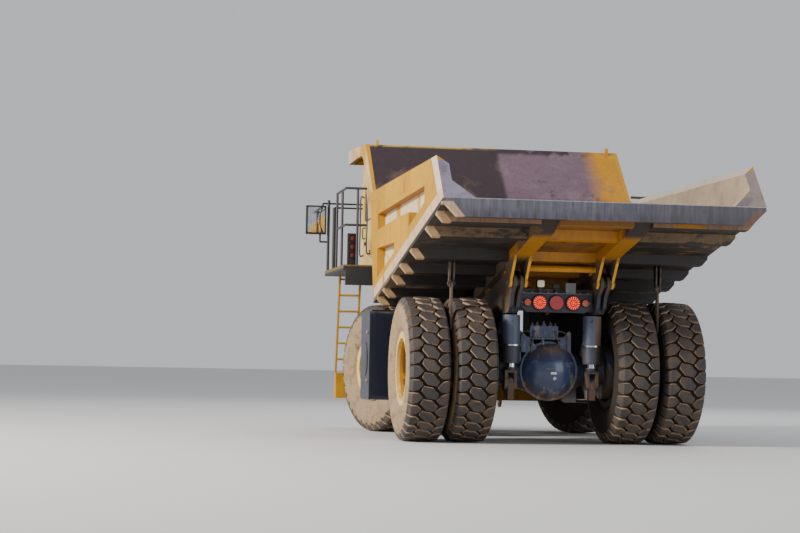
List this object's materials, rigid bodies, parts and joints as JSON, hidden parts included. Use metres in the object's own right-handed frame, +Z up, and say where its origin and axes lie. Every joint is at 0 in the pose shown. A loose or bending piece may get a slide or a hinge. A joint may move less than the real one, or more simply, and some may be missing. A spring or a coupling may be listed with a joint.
{
  "type": "rigid off-highway dump truck",
  "caption": "Rigid-frame haul truck with a V-floor tipping bed and cab canopy, telescoping hoists, twin rear wheels and steered front wheels, for carrying loose rock.",
  "frame": {"origin": "on the ground under the middle of the truck's length and width", "axes": "+X to the truck's right, +Y forward towards the cab, +Z up"},
  "size_m": [5.94, 9.37, 4.8998],
  "materials": {
    "tyre": "dusty ribbed rubber",
    "rim": "dusty golden paint",
    "bed_paint": "dusty matt yellow paint, chipped",
    "worn_steel": "scoured steel with paint left at its edges",
    "body_paint": "dusty satin yellow paint",
    "frame_paint": "dusty dark grey paint",
    "axle_paint": "oily blue-black paint",
    "chrome": "polished",
    "tank_paint": "dusty black paint",
    "engine_iron": "cast, dusty",
    "glass": "clear, dusty at the edges",
    "lamp_red": "red lens",
    "lamp_clear": "clear lens",
    "seat_fabric": "woven",
    "dash_plastic": "grained",
    "mirror_housing": "dusty black"
  },
  "bodies": {
    "chassis": {"frame_rail_left": "frame_paint", "frame_rail_right": "frame_paint", "frame_cross_members": "frame_paint", "front_struts": "axle_paint", "rear_axle_housing": "axle_paint", "rear_struts": "axle_paint", "rear_strut_rods": "chrome", "tail_lamp_bar": "frame_paint", "tail_lamps": "lamp_red", "front_bumper": "body_paint", "headlamps": "lamp_clear", "engine_and_transmission": "engine_iron", "driveshaft": "engine_iron", "engine_hood": "body_paint", "radiator_grille": "tank_paint", "deck_left": "body_paint", "deck_right": "body_paint", "handrails": "frame_paint", "ladders": "body_paint", "cab_shell": "body_paint", "cab_glass": "glass", "operator_seat": "seat_fabric", "dashboard": "dash_plastic", "fuel_tank": "tank_paint", "hydraulic_tank": "tank_paint", "air_cleaners": "tank_paint", "payload_lamps": "body_paint", "mirrors": "mirror_housing"},
    "bed": {"bed_floor": "bed_paint", "bed_side_left": "bed_paint", "bed_side_right": "bed_paint", "bed_headboard": "worn_steel", "bed_canopy": "bed_paint", "bed_beams": "bed_paint", "bed_bolsters": "bed_paint"},
    "door": {"cab_door": "body_paint"},
    "ejector_left": {"rock_ejector_left": "frame_paint"},
    "hoist_barrel_left": {"hoist_barrel_left": "axle_paint"},
    "hoist_stage_left": {"hoist_stage_left": "chrome"},
    "hoist_rod_left": {"hoist_rod_left": "chrome"},
    "knuckle_left": {"knuckle_left": "axle_paint"},
    "front_wheel_left": {"front_tyre_left": "tyre", "front_rim_left": "rim"},
    "rear_wheels_left": {"rear_tyres_left": "tyre", "rear_rims_left": "rim"},
    "steer_barrel_left": {"steer_barrel_left": "axle_paint"},
    "steer_rod_left": {"steer_rod_left": "chrome"},
    "ejector_right": {"rock_ejector_right": "frame_paint"},
    "hoist_barrel_right": {"hoist_barrel_right": "axle_paint"},
    "hoist_stage_right": {"hoist_stage_right": "chrome"},
    "hoist_rod_right": {"hoist_rod_right": "chrome"},
    "knuckle_right": {"knuckle_right": "axle_paint"},
    "front_wheel_right": {"front_tyre_right": "tyre", "front_rim_right": "rim"},
    "rear_wheels_right": {"rear_tyres_right": "tyre", "rear_rims_right": "rim"},
    "steer_barrel_right": {"steer_barrel_right": "axle_paint"},
    "steer_rod_right": {"steer_rod_right": "chrome"}
  },
  "joints": [
    {"name": "bed_tip", "type": "hinge", "parent": "chassis", "child": "bed", "pos_m": [0, -2.27, 2.33], "axis": [1, 0, 0], "range_deg": [0, 48]},
    {"name": "hoist_barrel_left", "type": "hinge", "parent": "chassis", "child": "hoist_barrel_left", "pos_m": [-0.85, -0.1, 0.925], "axis": [1, 0, 0], "range_deg": [0, 23.7]},
    {"name": "hoist_stage_left", "type": "slide", "parent": "hoist_barrel_left", "child": "hoist_stage_left", "axis": [0, 0.3037, 0.9528], "range_m": [0, 0.9576]},
    {"name": "hoist_rod_left", "type": "slide", "parent": "hoist_stage_left", "child": "hoist_rod_left", "axis": [0, 0.3037, 0.9528], "range_m": [0, 0.9576]},
    {"name": "ejector_left", "type": "hinge", "parent": "bed", "child": "ejector_left", "pos_m": [-1.54, -1.93, 2.3], "axis": [1, 0, 0], "range_deg": [-48, 25]},
    {"name": "rear_wheels_left", "type": "hinge", "parent": "chassis", "child": "rear_wheels_left", "pos_m": [-1.54, -1.32, 1.06], "axis": [1, 0, 0], "continuous": true},
    {"name": "hoist_barrel_right", "type": "hinge", "parent": "chassis", "child": "hoist_barrel_right", "pos_m": [0.85, -0.1, 0.925], "axis": [1, 0, 0], "range_deg": [0, 23.7]},
    {"name": "hoist_stage_right", "type": "slide", "parent": "hoist_barrel_right", "child": "hoist_stage_right", "axis": [0, 0.3037, 0.9528], "range_m": [0, 0.9576]},
    {"name": "hoist_rod_right", "type": "slide", "parent": "hoist_stage_right", "child": "hoist_rod_right", "axis": [0, 0.3037, 0.9528], "range_m": [0, 0.9576]},
    {"name": "ejector_right", "type": "hinge", "parent": "bed", "child": "ejector_right", "pos_m": [1.54, -1.93, 2.3], "axis": [1, 0, 0], "range_deg": [-48, 25]},
    {"name": "rear_wheels_right", "type": "hinge", "parent": "chassis", "child": "rear_wheels_right", "pos_m": [1.54, -1.32, 1.06], "axis": [1, 0, 0], "continuous": true},
    {"name": "steer_left", "type": "hinge", "parent": "chassis", "child": "knuckle_left", "pos_m": [-1.2, 2.98, 1.06], "axis": [0, 0, 1], "range_deg": [-51, 11]},
    {"name": "steer_right", "type": "hinge", "parent": "chassis", "child": "knuckle_right", "pos_m": [1.2, 2.98, 1.06], "axis": [0, 0, 1], "range_deg": [-51, 11]},
    {"name": "front_wheel_left", "type": "hinge", "parent": "knuckle_left", "child": "front_wheel_left", "pos_m": [-1.72341, 2.78949, 1.06], "axis": [0.9397, 0.342, 0], "continuous": true},
    {"name": "front_wheel_right", "type": "hinge", "parent": "knuckle_right", "child": "front_wheel_right", "pos_m": [1.72341, 3.17051, 1.06], "axis": [0.9397, 0.342, 0], "continuous": true},
    {"name": "steer_barrel_left", "type": "hinge", "parent": "chassis", "child": "steer_barrel_left", "pos_m": [-0.2, 2.7, 0.935], "axis": [0, 0, 1], "range_deg": [-0.8, 3.6]},
    {"name": "steer_barrel_right", "type": "hinge", "parent": "chassis", "child": "steer_barrel_right", "pos_m": [0.2, 2.7, 0.935], "axis": [0, 0, 1], "range_deg": [-0.7, 3.1]},
    {"name": "steer_rod_left", "type": "slide", "parent": "steer_barrel_left", "child": "steer_rod_left", "axis": [-0.9998, 0.0221, 0], "range_m": [-0.057, 0.26]},
    {"name": "steer_rod_right", "type": "slide", "parent": "steer_barrel_right", "child": "steer_rod_right", "axis": [0.9998, -0.0214, 0], "range_m": [-0.261, 0.0565]},
    {"name": "cab_door", "type": "hinge", "parent": "chassis", "child": "door", "pos_m": [-1.996, 3.057, 3.6], "axis": [0, 0, 1], "range_deg": [0, 65]}
  ],
  "couplings": [
    {"joint": "hoist_barrel_left", "follows": "bed_tip", "ratio": 0.4937},
    {"joint": "hoist_stage_left", "follows": "bed_tip", "m_per_rad": 1.143},
    {"joint": "hoist_rod_left", "follows": "bed_tip", "m_per_rad": 1.143},
    {"joint": "hoist_barrel_right", "follows": "bed_tip", "ratio": 0.4937},
    {"joint": "hoist_stage_right", "follows": "bed_tip", "m_per_rad": 1.143},
    {"joint": "hoist_rod_right", "follows": "bed_tip", "m_per_rad": 1.143},
    {"joint": "steer_right", "follows": "steer_left", "ratio": 1},
    {"joint": "steer_barrel_left", "follows": "steer_left", "ratio": -0.0686},
    {"joint": "steer_barrel_right", "follows": "steer_left", "ratio": -0.0586},
    {"joint": "steer_rod_left", "follows": "steer_left", "m_per_rad": -0.2915},
    {"joint": "steer_rod_right", "follows": "steer_left", "m_per_rad": 0.2929}
  ]
}
